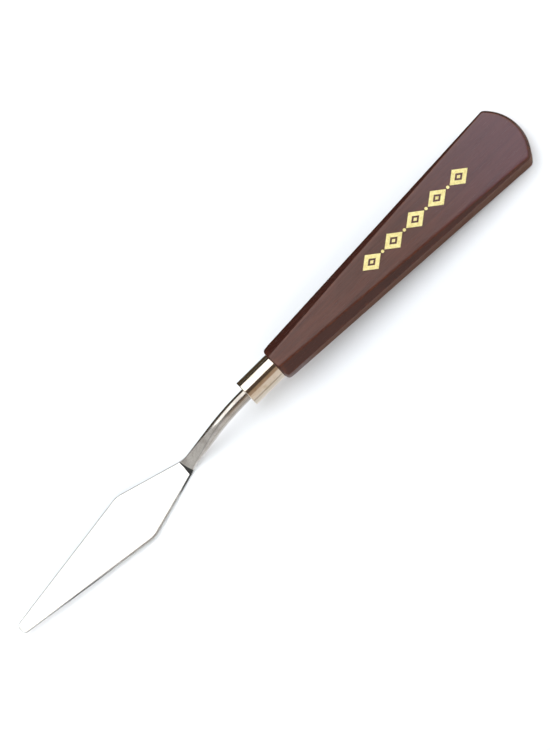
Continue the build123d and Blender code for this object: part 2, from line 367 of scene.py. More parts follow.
def roughen_handle(piece):
    """Uneven sanding, and a small knock on the near corner of the butt. The knock's bare wood
    is kept in the attribute bare, and how far each spot leans in the attribute slope."""
    mesh = piece.data
    rest = mesh.attributes["rest_uvw"].data
    bare = mesh.attributes.new("bare", "FLOAT", "POINT")
    slope = mesh.attributes.new("slope", "FLOAT", "POINT")
    knock = Vector(KNOCK_PLACE)
    lining = BORE_DIAMETER / 2 + 0.2
    mesh.update()
    moves = []
    for index, vert in enumerate(mesh.vertices):
        spot = Vector(rest[index].vector)
        outside = spot.x > 0.05 and math.hypot(spot.y, spot.z) > lining
        wave = noise.noise(Vector((spot.x, spot.y * 2.2, spot.z * 2.2)) / WOBBLE_LENGTH)
        fine = Vector((spot.x * 0.6, spot.y * 1.8, spot.z * 1.8)) / WOBBLE_FINE_LENGTH
        wave += (noise.noise(fine) - wave) * WOBBLE_FINE_SHARE
        inward = WOBBLE * (0.5 - 0.5 * wave) * eased(spot.x, *WOBBLE_START)
        near = 1 - min((spot - knock).length / KNOCK_RADIUS, 1.0)
        inward += KNOCK_DEPTH * near * near
        bare.data[index].value = min(near * KNOCK_BARE, 1.0)
        slope.data[index].value = 1 - abs(vert.normal.dot(Vector(upright)))
        moves.append(vert.normal * (inward * MM if outside else 0.0))
    for vert, move in zip(mesh.vertices, moves):
        vert.co -= move
    mesh.update()


# ---- ferrule ----

FERRULE_SEGMENTS = 128
FERRULE_EDGE_POINTS = 9
BARREL_POINTS = 18
LINE_WIDTH = 0.5  # of the shallow line rolled round the barrel just inside each end
LINE_DEPTH = 0.045
HOLE_LIP = 0.12  # the punched hole draws the front in this far


def ferrule_end(end, inward):
    """One end of the barrel, as it runs from the end face to the plain barrel."""
    points = []
    for turn in np.linspace(math.pi / 2, 0, FERRULE_EDGE_POINTS):
        depth = FERRULE_EDGE_RADIUS * (1 - math.sin(turn))
        drop = FERRULE_EDGE_RADIUS * (1 - math.cos(turn))
        points.append((end + inward * depth, ferrule_radius - drop))
    for half_widths, drop in ((1, 0.0), (2, LINE_DEPTH), (3, 0.0)):
        depth = FERRULE_EDGE_RADIUS + half_widths * LINE_WIDTH / 2
        points.append((end + inward * depth, ferrule_radius - drop))
    return points


def ferrule_profile():
    """The cup's profile, from the punched hole over the front and the barrel and back inside."""
    hole = rod_radius + SLIDE_GAP
    inner = ferrule_radius - FERRULE_WALL
    face_end = ferrule_radius - FERRULE_EDGE_RADIUS
    front, back = -FERRULE_LENGTH, 0.0
    floor = front + FERRULE_WALL
    profile = [(front + HOLE_LIP, hole), (front + 0.03, hole + 0.05), (front, hole + 0.16)]
    profile += [(front, hole + share * (face_end - hole)) for share in (0.4, 0.7)]
    profile += ferrule_end(front, 1)
    for share in np.linspace(0.16, 0.84, BARREL_POINTS):
        profile.append((front + FERRULE_LENGTH * share, ferrule_radius))
    profile += reversed(ferrule_end(back, -1))
    profile += [(back, inner + 0.02), (back - 0.05, inner)]
    profile += [(floor + 0.1, inner), (floor, inner - 0.1), (floor, hole)]
    profile += [(front + HOLE_LIP, hole)]
    return profile


def lathe(profile, segments):
    """Rings round the handle's axis, one for each point u, radius of a profile."""
    turns = np.linspace(0, 2 * math.pi, segments, endpoint=False)
    return [
        np.stack([np.full(segments, u), r * np.cos(turns), r * np.sin(turns)], axis=1)
        for u, r in profile
    ]


# ---- neck ----
# The rod bends down, runs straight, and meets the blade in a crease just behind the heel. The
# crease is sharp on the far side and opens into a soft round on the near side.

NECK_STEP = 0.45
FOOT_STEP = 0.09
FOOT_DETAIL = 4.2  # the last stretch has closer stations
UPRIGHT_STRETCH = 7.0  # over this last stretch the sections turn upright, in line with the heel
UPRIGHT_END = 1.5
SHEAR_END = 1.6
TOP_POINTS = 16
CORNER_POINTS = 9
SIDE_POINTS = 2
SIDE_ARC = 0.49  # how far the rod's side arcs reach in, as a share of its width
FAR_FLATTENING = 0.33  # and how much the hammering takes off that on the far side
NEAR_FLATTENING = 0.08
NEAR_FOOT_FLATTENING = 0.27  # and further along
ARC_RISE = 0.99  # of the arcs, as a share of half the thickness
TANG_CHAMFER = 0.3
GROOVE_WALL = 0.01
CREASE_SETBACK = 0.6  # from the heel to the crease
CREASE_FAR = 0.12  # half the length of the crease's round, on the far side
CREASE_NEAR = 1.45
SHADE_LOW = (0.18, 0.55)  # the wedge of painted crease shade starts this far below the crease, and spreads
SHADE_HIGH = (0.22, 1.9)  # its width on the far side, and what it gains by the near side
SHADE_CURVE = 1.5
SHADE_SOFTNESS = 0.16
SHADE_FLOOR = 0.05 - BLADE_DROP  # there is none below this height

crease_u = heel_u + CREASE_SETBACK
neck_end_u = heel_u + heel_radius + HINGE_GAP / 2
crease_reach = NECK_REACH - CREASE_SETBACK
arc_above = CRANK_RADIUS - BLADE_DROP
descent = math.asin(CRANK_RADIUS / math.hypot(crease_reach, arc_above))
descent -= math.atan2(arc_above, crease_reach)
descent_start = CRANK_RADIUS * descent
descent_run = (crease_reach - CRANK_RADIUS * math.sin(descent)) / math.cos(descent)
crease_distance = descent_start + descent_run


def neck_line(distance):
    """Centre and pitch of the neck at a distance along it from the ferrule's front."""
    if distance < descent_start:
        pitch = distance / CRANK_RADIUS
        return (
            -FERRULE_LENGTH - CRANK_RADIUS * math.sin(pitch),
            -CRANK_RADIUS * (1 - math.cos(pitch)),
            pitch,
        )
    run = min(distance, crease_distance) - descent_start
    past = max(distance - crease_distance, 0.0)
    u = -FERRULE_LENGTH - CRANK_RADIUS * math.sin(descent) - run * math.cos(descent) - past
    w = -CRANK_RADIUS * (1 - math.cos(descent)) - run * math.sin(descent)
    return u, w, descent if past == 0 else 0.0


def nearness(v):
    """0 at the foot's far side, 1 at its near side."""
    return min(max(0.5 - v / FOOT_WIDTH, 0.0), 1.0)


def crease_lift(u, v):
    """How far the round of the crease lies above the sharp crease."""
    half = CREASE_FAR + (CREASE_NEAR - CREASE_FAR) * nearness(v)
    from_crease = u - crease_u
    if abs(from_crease) >= half:
        return 0.0
    slope = math.tan(descent)
    return slope * (from_crease + half) ** 2 / (4 * half) - slope * max(from_crease, 0.0)


def neck_outline(distance, length):
    """The rod's section: round, then hammered flat from the far side, and last spread into the
    foot."""
    waist = length - WAIST_DISTANCE
    flatness = eased(distance, ROUND_LENGTH, waist)
    spread = ramp(distance, length - FOOT_SPREAD, length) ** 2
    thinning = ramp(distance, waist, length)
    width = ROD_DIAMETER + (WAIST_WIDTH - ROD_DIAMETER) * flatness
    width += (FOOT_WIDTH - WAIST_WIDTH) * spread
    thickness = ROD_DIAMETER + (WAIST_THICKNESS - ROD_DIAMETER) * flatness
    thickness += (FOOT_THICKNESS - WAIST_THICKNESS) * thinning
    far = SIDE_ARC - FAR_FLATTENING * eased(distance, ROUND_LENGTH, 0.88 * length)
    near = SIDE_ARC - NEAR_FLATTENING * eased(distance, ROUND_LENGTH, 0.6 * length)
    near -= NEAR_FOOT_FLATTENING * eased(distance, 0.5 * length, waist)
    return flattened_round(width, thickness, far * width, near * width)


def flattened_round(width, thickness, far_reach, near_reach):
    """Points v, w round a section with a flat top and bottom and an oval arc at each side, each
    arc reaching so far in. They start on the far side."""
    rise = thickness / 2 * ARC_RISE
    middle = thickness / 2 - rise
    far, near = width / 2 - far_reach, -width / 2 + near_reach
    corners = (
        (far, middle, far_reach),
        (near, middle, near_reach),
        (near, -middle, near_reach),
        (far, -middle, far_reach),
    )
    points = []
    for quarter, (v, w, reach) in enumerate(corners):
        for step in range(CORNER_POINTS + 1):
            turn = math.pi / 2 * (quarter + step / CORNER_POINTS)
            points.append((v + reach * math.cos(turn), w + rise * math.sin(turn)))
        follow = corners[(quarter + 1) % 4]
        turn = math.pi / 2 * (quarter + 1)
        start = points[-1]
        end = (follow[0] + follow[2] * math.cos(turn), follow[1] + rise * math.sin(turn))
        count = TOP_POINTS if quarter % 2 == 0 else SIDE_POINTS
        for step in range(1, count):
            share = step / count
            points.append(
                (start[0] + (end[0] - start[0]) * share, start[1] + (end[1] - start[1]) * share)
            )
    return points


def neck_rings():
    """Rings from the tang's end to the foot, and the painted shade that darkens the crease,
    as a mark on each point."""
    rings = []
    length = crease_distance + crease_u - neck_end_u
    section = np.array(neck_outline(0.0, length))
    angles = np.arctan2(section[:, 1], section[:, 0])

    def round_ring(u, radius):
        return np.stack(
            [np.full(len(angles), u), radius * np.cos(angles), radius * np.sin(angles)], axis=1
        )

    rings.append(round_ring(TANG_DEPTH, 0.0))
    rings.append(round_ring(TANG_DEPTH, rod_radius - TANG_CHAMFER))
    rings.append(round_ring(TANG_DEPTH - TANG_CHAMFER, rod_radius))
    half = TANG_GROOVE_DEPTH  # half a groove is as wide as it is deep
    for groove in range(TANG_GROOVES):
        middle = TANG_DEPTH - (groove + 1) * TANG_GROOVE_PITCH
        rings.append(round_ring(middle + half + GROOVE_WALL, rod_radius))
        rings.append(round_ring(middle + half, rod_radius - TANG_GROOVE_DEPTH))
        rings.append(round_ring(middle - half, rod_radius - TANG_GROOVE_DEPTH))
        rings.append(round_ring(middle - half - GROOVE_WALL, rod_radius))
    rings.append(round_ring(-FERRULE_LENGTH + 0.5, rod_radius))

    detail = length - FOOT_DETAIL
    coarse = np.linspace(0.0, detail, round(detail / NECK_STEP), endpoint=False)
    close = np.linspace(detail, length, round(FOOT_DETAIL / FOOT_STEP))
    for distance in [*coarse, *close]:
        u, w, pitch = neck_line(distance)
        upright_share = eased(distance, length - UPRIGHT_STRETCH, length - UPRIGHT_END)
        stand = pitch * (1 - upright_share)
        stretch = 1 / math.cos(pitch - stand)
        stretch += (1 - stretch) * eased(distance, length - SHEAR_END, length)
        points = np.array(neck_outline(distance, length))
        ring = np.stack(
            [
                u - points[:, 1] * stretch * math.sin(stand),
                points[:, 0],
                w + points[:, 1] * stretch * math.cos(stand),
            ],
            axis=1,
        )
        for spot in ring:
            spot[2] += crease_lift(spot[0], spot[1])
        rings.append(ring)
    rings.append(np.repeat(rings[-1].mean(axis=0)[None, :], len(angles), axis=0))
    # The marks hold painted shade across the crease.
    marks = [[crease_shade(*spot) for spot in ring] for ring in rings]
    return rings, marks


def crease_shade(u, v, w):
    """1 inside the wedge of painted shade that lies across the top of the crease, 0 outside it.
    """
    if w < SHADE_FLOOR:
        return 0.0
    share = nearness(v)
    low = crease_u - SHADE_LOW[0] - SHADE_LOW[1] * share
    high = low + SHADE_HIGH[0] + SHADE_HIGH[1] * share**SHADE_CURVE
    inside = min(u - low, high - u) / SHADE_SOFTNESS + 0.5
    return min(max(inside, 0.0), 1.0)


# ---- blade ----

BLADE_STEP = 0.75
HEEL_STEP = 0.12
HEEL_DETAIL = 3.0  # the last stretch before the heel has closer stations
TIP_STEPS = 14
NOSE_STEPS = 8
FILLET_STEPS = 24
BLADE_COLUMNS = 28
TIP_GRIND = 0.3  # the tip's end is ground thin over this length
TIP_THINNESS = 0.45
SHARP_END = 0.01  # half the thickness left at the very end of the heel's nose
EDGE_POINTS = 4
EDGE_BAND = 0.36  # the ground edge's width at the heel
EDGE_SHARE = 0.8  # how much of the half thickness the ground edge takes
EDGE_SHADE = 0.46  # how dark the painted shade along the ground edges is, away from the crease
FAR_EDGE_SHADE = 0.14  # darker by this on the far side
PATCH_SHADE = 0.25  # and by this in a patch on the near side
PATCH = ((8.0, 20.0), (24.0, 40.0))  # from the tip, where the darker painted patch comes in and goes out
SHADE_RUN = (1.0, 14.0)  # from the heel, where the painted crease shade thins out along the near edge


def fillet_reach(direction_in, direction_out, radius):
    """How far from a corner a round of that radius begins."""
    turn = math.acos(np.clip(np.dot(direction_in, direction_out), -1, 1))
    return radius * math.tan(turn / 2)


def blade_half_outline():
    """Half the outline in plan, tip to heel, as points (distance from the tip, half width)."""
    corners = [
        np.array([0.0, 0.0]),
        np.array([0.0, BLADE_TIP_WIDTH / 2]),
        np.array([BLADE_SHOULDER, BLADE_WIDTH / 2]),
        np.array([BLADE_LENGTH, FOOT_WIDTH / 2]),
    ]
    points = [corners[0] + (corners[1] - corners[0]) * 0.02]
    for index, radius in ((1, BLADE_TIP_RADIUS), (2, BLADE_SHOULDER_RADIUS)):
        before, corner, after = corners[index - 1 : index + 2]
        in_way = (corner - before) / np.linalg.norm(corner - before)
        out_way = (after - corner) / np.linalg.norm(after - corner)
        reach = fillet_reach(in_way, out_way, radius)
        start, end = corner - in_way * reach, corner + out_way * reach
        normal = np.array([in_way[1], -in_way[0]])
        if np.dot(normal, out_way) < 0:
            normal = -normal
        centre = start + normal * radius
        turn = math.acos(np.clip(np.dot(in_way, out_way), -1, 1))
        for step in range(FILLET_STEPS + 1):
            angle = turn * step / FILLET_STEPS
            points.append(
                centre - normal * radius * math.cos(angle) + in_way * radius * math.sin(angle)
            )
    points.append(corners[3])
    return np.array(points)


blade_outline = blade_half_outline()


def blade_rings():
    """Rings from the tip to the heel's round nose, and how much painted shade each point has."""
    tip_zone = BLADE_TIP_RADIUS
    near_tip = tip_zone * (1 - np.cos(np.linspace(0, math.pi / 2, TIP_STEPS, endpoint=False)))
    heel_zone = BLADE_LENGTH - HEEL_DETAIL
    body = np.linspace(tip_zone, heel_zone, round((heel_zone - tip_zone) / BLADE_STEP))
    heel = np.linspace(heel_zone, BLADE_LENGTH, round(HEEL_DETAIL / HEEL_STEP))[1:]
    nose = BLADE_LENGTH + heel_radius * np.sin(np.linspace(0, math.pi / 2, NOSE_STEPS)[1:])
    rings = []
    for distance in [*near_tip, *body, *heel, *nose]:
        half = np.interp(distance, *blade_outline.T)
        share = min(distance / BLADE_LENGTH, 1.0)
        thickness = BLADE_TIP_THICKNESS + (BLADE_HEEL_THICKNESS - BLADE_TIP_THICKNESS) * share
        middle = blade_underside + thickness / 2
        past = max(distance - BLADE_LENGTH, 0.0)
        if past > 0:
            thickness = 2 * math.sqrt(max(heel_radius**2 - past**2, SHARP_END**2))
            middle = -BLADE_DROP
        ground = math.sqrt(min(distance / TIP_GRIND, 1.0))
        thickness *= TIP_THINNESS + (1 - TIP_THINNESS) * ground
        rings.append(blade_section(tip_u + distance, half, thickness, middle))
    for end, outer in ((0, rings[0]), (len(rings) + 1, rings[-1])):
        cap = outer.copy()
        cap[:, 2] = outer[:, 2].mean()
        rings.insert(end, cap)
    for ring in rings:
        for spot in ring:
            spot[2] += crease_lift(spot[0], spot[1])
    # The marks hold painted shade along the edges and in the crease.
    marks = [[edge_shade(*spot) for spot in ring] for ring in rings]
    return rings, marks


def edge_shade(u, v, w):
    """Painted shade and dark reflection in lines along the ground edges and round the tip's end.
    The painted crease shade runs on a little way along the near edge.
    """
    from_tip = u - tip_u
    half = np.interp(from_tip, *blade_outline.T)
    crease_run, darker = 0.0, FAR_EDGE_SHADE
    if v < 0:
        crease_run = 1 - eased(heel_u - u, *SHADE_RUN)
        darker = PATCH_SHADE * eased(from_tip, *PATCH[0]) * (1 - eased(from_tip, *PATCH[1]))
    shade_amount = max(EDGE_SHADE + darker, crease_run)
    edge = eased(abs(v), half - 0.42 - 0.4 * crease_run, half - 0.2)
    edge = max(edge, 1 - eased(from_tip, 0.2, 0.45))
    return max(edge * shade_amount, crease_shade(u, v, w))


def blade_section(u, half, thickness, middle):
    """A flat section with a ground edge on each side: a closed ring of points."""
    band = min(EDGE_BAND * (thickness / BLADE_HEEL_THICKNESS) ** 0.7, half * 0.4)
    flat = half - band
    rise = thickness / 2
    foot = (half, rise * (1 - EDGE_SHARE))
    corner = bend_corner((flat - 0.3, rise), (flat, rise), foot, 0.06, 4)
    lip = bend_corner((flat, rise), foot, (half, 0.0), 0.04, 3)
    shares = [step / EDGE_POINTS for step in range(1, EDGE_POINTS)]
    slope = [corner[-1] + (lip[0] - corner[-1]) * share for share in shares]
    edge = [tuple(spot) for spot in (*corner, *slope, *lip)] + [(half, 0.0)]
    start = edge[0][0]
    across_top = (2 * column / BLADE_COLUMNS - 1 for column in range(1, BLADE_COLUMNS))
    columns = [(start * share, rise) for share in across_top]
    upper = [(-v, w) for v, w in reversed(edge)] + columns + edge
    lower = [(v, -w) for v, w in reversed(upper[1:-1])]
    return np.array([(u, v, middle + w) for v, w in upper + lower])


# ---------------------------------------------------------------------------------------------
# Materials
# ---------------------------------------------------------------------------------------------


class Nodes:
    """A node tree under construction: short calls for adding and joining nodes."""

    def __init__(self, tree):
        self.tree = tree
        tree.nodes.clear()

    def put(self, target, value):
        """Sets a socket to a value, or joins it to another node's output."""
        if isinstance(value, bpy.types.NodeSocket):
            self.tree.links.new(value, target)
        else:
            target.default_value = value

    def add(self, kind, settings=None, **sockets):
        made = self.tree.nodes.new(kind)
        for name, value in (settings or {}).items():
            setattr(made, name, value)
        for name, value in sockets.items():
            self.put(made.inputs[name.replace("_", " ")], value)
        return made

    def map(self, value, low, high, to_low=0.0, to_high=1.0, kind="SMOOTHSTEP"):
        made = self.add("ShaderNodeMapRange", {"interpolation_type": kind}, Value=value)
        limits = {"From Min": low, "From Max": high, "To Min": to_low, "To Max": to_high}
        for name, limit in limits.items():
            made.inputs[name].default_value = limit
        return made.outputs["Result"]

    def maths(self, operation, first, second=0.0):
        made = self.add("ShaderNodeMath", {"operation": operation})
        self.put(made.inputs[0], first)
        self.put(made.inputs[1], second)
        return made.outputs[0]

    def mix(self, factor, first, second):
        made = self.add("ShaderNodeMix", {"data_type": "RGBA"}, Factor=factor)
        self.put(made.inputs[6], first)
        self.put(made.inputs[7], second)
        return made.outputs[2]


class Shader(Nodes):
    """A material with one principled surface."""

    def __init__(self, name):
        self.material = bpy.data.materials.new(name)
        self.material.use_nodes = True
        super().__init__(self.material.node_tree)
        self.surface = self.add("ShaderNodeBsdfPrincipled")
        self.add("ShaderNodeOutputMaterial", Surface=self.surface.outputs[0])

    def set(self, **sockets):
        for name, value in sockets.items():
            self.put(self.surface.inputs[name.replace("_", " ")], value)

    def attribute(self, name, output="Fac"):
        return self.add("ShaderNodeAttribute", {"attribute_name": name}).outputs[output]

    def stretched(self, per_mm):
        """Rest coordinates u, v, w, scaled to so many repeats per millimetre each way."""
        made = self.add("ShaderNodeVectorMath", {"operation": "MULTIPLY"})
        self.put(made.inputs[0], self.attribute("rest_uvw", "Vector"))
        made.inputs[1].default_value = per_mm
        return made.outputs[0]

    def scaled(self, per_metre):
        """Object coordinates, scaled to so many repeats per metre."""
        made = self.add("ShaderNodeVectorMath", {"operation": "SCALE"}, Scale=per_metre)
        self.put(made.inputs[0], self.add("ShaderNodeTexCoord").outputs["Object"])
        return made.outputs[0]

    def noise(self, vector, detail=3.0, roughness=0.5, distortion=0.0):
        settings = dict(Scale=1.0, Detail=detail, Roughness=roughness, Distortion=distortion)
        return self.add("ShaderNodeTexNoise", Vector=vector, **settings).outputs["Fac"]

    def bump(self, height, distance, strength=1.0, below=None):
        made = self.add("ShaderNodeBump", Height=height, Distance=distance, Strength=strength)
        if below is not None:
            self.put(made.inputs["Normal"], below)
        return made.outputs["Normal"]


def linear(red, green, blue):
    """A colour from its 0 to 255 screen values."""
    def channel(value):
        value /= 255
        return value / 12.92 if value <= 0.04045 else ((value + 0.055) / 1.055) ** 2.4
    return (channel(red), channel(green), channel(blue), 1.0)


def lacquered_wood():
    """Stained close-grained hardwood under semi-gloss lacquer, worn on its arrises."""
    s = Shader("lacquered_wood")
    figure = s.noise(s.stretched((0.030, 0.42, 0.42)), 4.0, 0.55, 0.6)
    streaks = s.noise(s.stretched((0.05, 2.6, 2.6)), 5.0, 0.62)
    pores = s.noise(s.stretched((0.16, 6.5, 6.5)), 2.0, 0.5)
    pore_mask = s.map(pores, 0.60, 0.72)
    blotches = s.noise(s.stretched((0.05, 0.12, 0.12)), 2.0, 0.5)

    colour = s.mix(s.map(figure, 0.3, 0.7), linear(66, 34, 26), linear(83, 43, 32))
    colour = s.mix(s.map(streaks, 0.35, 0.7, 0.0, 0.38), colour, linear(95, 52, 38))
    colour = s.mix(s.map(blotches, 0.42, 0.68, 0.0, 0.18), colour, linear(38, 18, 13))
    colour = s.mix(s.maths("MULTIPLY", pore_mask, 0.45), colour, linear(24, 11, 8))
    # Painted sheen lightens the flat faces towards the butt. Painted shade darkens the bevels and
    # makes the sides browner; the sides are also duller.
    slope = s.attribute("slope")
    rest = s.add("ShaderNodeSeparateXYZ", Vector=s.attribute("rest_uvw", "Vector"))
    level = s.map(slope, 0.02, 0.12, 1.0, 0.0)
    # Painted sheen on the flat faces, growing towards the butt.
    painted_sheen = s.maths("MULTIPLY", s.map(rest.outputs["X"], 50.0, 108.0, 0.0, 0.5), level)
    colour = s.mix(painted_sheen, colour, linear(88, 66, 78))
    # Painted shade: the bevels darken with their lean.
    colour = s.mix(s.map(slope, 0.02, 0.16, 0.0, 0.58), colour, linear(34, 1, 0))
    # Painted shade: the sides turn a darker brown.
    colour = s.mix(s.map(slope, 0.4, 0.9, 0.0, 0.75), colour, linear(80, 32, 6))
    scuffs = s.noise(s.stretched((0.8, 1.1, 1.1)), 4.0, 0.65)
    rubbed = s.maths("MULTIPLY", s.attribute("mark"), s.map(scuffs, 0.40, 0.66, 0.0, 0.38))
    colour = s.mix(rubbed, colour, linear(104, 54, 27))
    grit = s.map(s.noise(s.stretched((2.5, 3.0, 3.0)), 2.0), 0.3, 0.55)
    knocked = s.maths("MULTIPLY", s.attribute("bare"), grit)
    colour = s.mix(knocked, colour, linear(206, 178, 140))

    gloss = s.map(s.noise(s.stretched((0.25, 0.9, 0.9)), 3.0), 0.3, 0.7, 0.15, 0.24)
    gloss = s.maths("ADD", gloss, s.maths("MULTIPLY", pore_mask, 0.12))
    gloss = s.maths("ADD", gloss, s.map(slope, 0.3, 0.9, 0.0, 0.25))
    peel = s.noise(s.stretched((0.75, 0.95, 0.95)), 2.0, 0.5)
    normal = s.bump(peel, 0.000026)
    speckle = s.noise(s.stretched((2.0, 2.8, 2.8)), 2.0, 0.6)
    normal = s.bump(speckle, 0.000016, 1.0, normal)
    normal = s.bump(streaks, 0.00002, 0.8, normal)
    normal = s.bump(s.maths("SUBTRACT", 1.0, pore_mask), 0.000012, 0.8, normal)
    s.set(Base_Color=colour, Roughness=gloss, Normal=normal)
    s.set(Coat_Weight=0.05, Coat_Roughness=0.2, Specular_IOR_Level=0.46)
    return s.material


def ferrule_brass():
    """Polished brass with faint turned and drawn lines."""
    s = Shader("ferrule_brass")
    tarnish = s.noise(s.stretched((0.22, 0.3, 0.3)), 4.0, 0.6)
    turned = s.noise(s.stretched((26.0, 0.25, 0.25)), 2.0, 0.5)
    drawn = s.noise(s.stretched((0.12, 7.0, 7.0)), 3.0, 0.5)
    colour = s.mix(s.map(tarnish, 0.42, 0.72), linear(229, 218, 204), linear(217, 202, 180))
    s.set(Base_Color=colour, Metallic=1.0)
    s.set(Roughness=s.map(tarnish, 0.35, 0.75, 0.06, 0.13))
    normal = s.bump(turned, 0.0000006)
    s.set(Normal=s.bump(drawn, 0.0000008, 1.0, normal))
    return s.material


def paint_shade(s, colour, rough):
    """Paints shade into a steel's colour where the mark lies, lowers its metal share there and
    roughens it.
    """
    grain = s.noise(s.stretched((2.4, 2.4, 2.4)), 3.0, 0.6)
    shade_amount = s.map(s.maths("ADD", s.attribute("mark"), s.maths("MULTIPLY", grain, 0.3)), 0.3, 0.95)
    # The painted shade is near black and mottled.
    colour = s.mix(shade_amount, colour, s.mix(grain, linear(20, 20, 15), linear(44, 45, 42)))
    metal = s.maths("SUBTRACT", 1.0, s.maths("MULTIPLY", shade_amount, 0.85))
    rough = s.maths("ADD", rough, s.maths("MULTIPLY", shade_amount, 0.4))
    return colour, metal, rough


def neck_steel():
    """Steel polished along its length, with a few dark specks."""
    s = Shader("neck_steel")
    cloud = s.noise(s.stretched((0.16, 0.3, 0.3)), 4.0, 0.6)
    polish = s.noise(s.stretched((0.35, 9.0, 9.0)), 3.0, 0.55)
    specks = s.map(s.noise(s.stretched((3.4, 3.4, 3.4)), 2.0), 0.70, 0.78)
    colour = s.mix(s.map(cloud, 0.35, 0.7), linear(204, 200, 195), linear(182, 176, 170))
    colour = s.mix(s.maths("MULTIPLY", specks, 0.5), colour, linear(96, 88, 80))
    # The crease gets its painted shade.
    colour, metal, rough = paint_shade(s, colour, s.map(cloud, 0.3, 0.75, 0.17, 0.27))
    s.set(Base_Color=colour, Metallic=metal, Roughness=rough)
    s.set(Normal=s.bump(polish, 0.0000025))
    return s.material


def blade_steel():
    """Bright steel, finely ground across, with a few scratches along it."""
    s = Shader("blade_steel")
    cloud = s.noise(s.stretched((0.06, 0.12, 0.12)), 4.0, 0.6)
    ground = s.noise(s.stretched((7.5, 0.18, 0.3)), 4.0, 0.6)
    scratches = s.noise(s.stretched((0.12, 9.0, 1.0)), 2.0, 0.5)
    scratch_mask = s.map(scratches, 0.66, 0.78)
    colour = s.mix(s.map(cloud, 0.35, 0.7), linear(236, 236, 234), linear(222, 222, 220))
    rough = s.map(cloud, 0.3, 0.7, 0.13, 0.21)
    rough = s.maths("ADD", rough, s.maths("MULTIPLY", scratch_mask, 0.08))
    # The crease and the ground edges get their painted shade.
    colour, metal, rough = paint_shade(s, colour, rough)
    s.set(Base_Color=colour, Metallic=metal, Roughness=rough)
    normal = s.bump(ground, 0.0000012)
    s.set(Normal=s.bump(scratch_mask, 0.0000015, 0.6, normal))
    return s.material


def gold_foil():
    """Hot-stamped foil: finely crinkled, with pinholes where the lacquer shows."""
    s = Shader("gold_foil")
    crinkle = s.noise(s.scaled(1000.0), 5.0, 0.7)
    missing = s.map(s.noise(s.scaled(5000.0), 3.0, 0.6), 0.64, 0.70)
    colour = s.mix(s.map(crinkle, 0.35, 0.7), linear(236, 226, 163), linear(214, 201, 135))
    s.set(Base_Color=s.mix(s.maths("MULTIPLY", missing, 0.8), colour, linear(92, 52, 30)))
    s.set(Metallic=s.maths("SUBTRACT", 0.85, s.maths("MULTIPLY", missing, 0.6)))
    s.set(Roughness=s.map(crinkle, 0.3, 0.7, 0.3, 0.46))
    s.set(Normal=s.bump(crinkle, 0.00002, 0.6))
    return s.material


def cured_adhesive():
    """Amber resin with small bubbles."""
    s = Shader("cured_adhesive")
    cloud = s.noise(s.scaled(900.0), 3.0, 0.6)
    bubbles = s.add("ShaderNodeTexVoronoi", Vector=s.scaled(900.0), Scale=2.2)
    s.set(Base_Color=s.mix(cloud, linear(196, 160, 96), linear(168, 126, 66)))
    s.set(Roughness=s.map(cloud, 0.3, 0.7, 0.22, 0.4))
    s.set(Normal=s.bump(s.map(bubbles.outputs["Distance"], 0.1, 0.3), 0.00003, 0.5))
    return s.material


# ---------------------------------------------------------------------------------------------
# The pieces
# ---------------------------------------------------------------------------------------------

rings, marks = handle_rings()
handle = loft("knife_handle", rings, marks)
roughen_handle(handle)
finish_piece(handle, lacquered_wood(), "handle", "handle")

ferrule = loft("ferrule_cup", lathe(ferrule_profile(), FERRULE_SEGMENTS))
finish_piece(ferrule, ferrule_brass(), "handle", "ferrule")

neck = loft("cranked_neck", *neck_rings())
finish_piece(neck, neck_steel(), "handle", "neck")

blade = loft("spring_blade", *blade_rings())
finish_piece(blade, blade_steel(), None, "blade")
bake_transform(blade)

for node, material in (("foil_ornament", gold_foil()), ("tang_adhesive", cured_adhesive())):
    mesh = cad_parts[node].data
    mesh.materials.clear()
    mesh.materials.append(material)

# ---------------------------------------------------------------------------------------------
# Studio
# ---------------------------------------------------------------------------------------------

FLOOR_HALF = 6.0  # metres
SOFTBOX_DISTANCE = 0.7
SOFTBOX_LEAN = math.radians(39)  # from upright, towards the far side
SOFTBOX_SIZE = (2.0, 0.81)
SOFTBOX_POWER = 7.2
SOFTBOX_COLOUR = (1.0, 0.99, 0.97)
KEY_DISTANCE = 0.9
KEY_LEAN = math.radians(14)
KEY_SIZE = (0.75, 0.75)
KEY_POWER = 5.2
KEY_COLOUR = (0.86, 0.93, 1.0)
LOW_LAMP_PLACE = (-0.30, -0.18, 0.24)
LOW_LAMP_AIM = (-0.105, -0.01, 0.0)
LOW_LAMP_SIZE = (0.12, 0.12)
LOW_LAMP_SPREAD = math.radians(36)
LOW_LAMP_POWER = 0.031
BUTT_LAMP_PLACE = (0.27, -0.02, 0.14)
BUTT_LAMP_AIM = (0.143, -0.012, 0.0)
BUTT_LAMP_SIZE = (0.06, 0.06)
BUTT_LAMP_SPREAD = math.radians(30)
BUTT_LAMP_POWER = 0.006
LOW_COLOUR = (0.94, 0.97, 1.0)
FILL_COLOUR = (0.75, 0.755, 0.765, 1.0)

# Cards on the floor: where each reaches across, from the near side to the far side.
FAR_CARD = (0.009, 1.2)
NEAR_CARD = (-0.33, -0.05)
NEAR_SHADE_STRIP = (-0.05, -0.013)
HANDLE_SHADE_CARD = (-0.018, 0.010)
CARD_ALONG = (-0.4, 0.4)
HANDLE_SHADE_CARD_ALONG = (0.014, 0.122)
CARD_HEIGHT = 0.0004
HANDLE_SHADE_CARD_HEIGHT = 0.0006


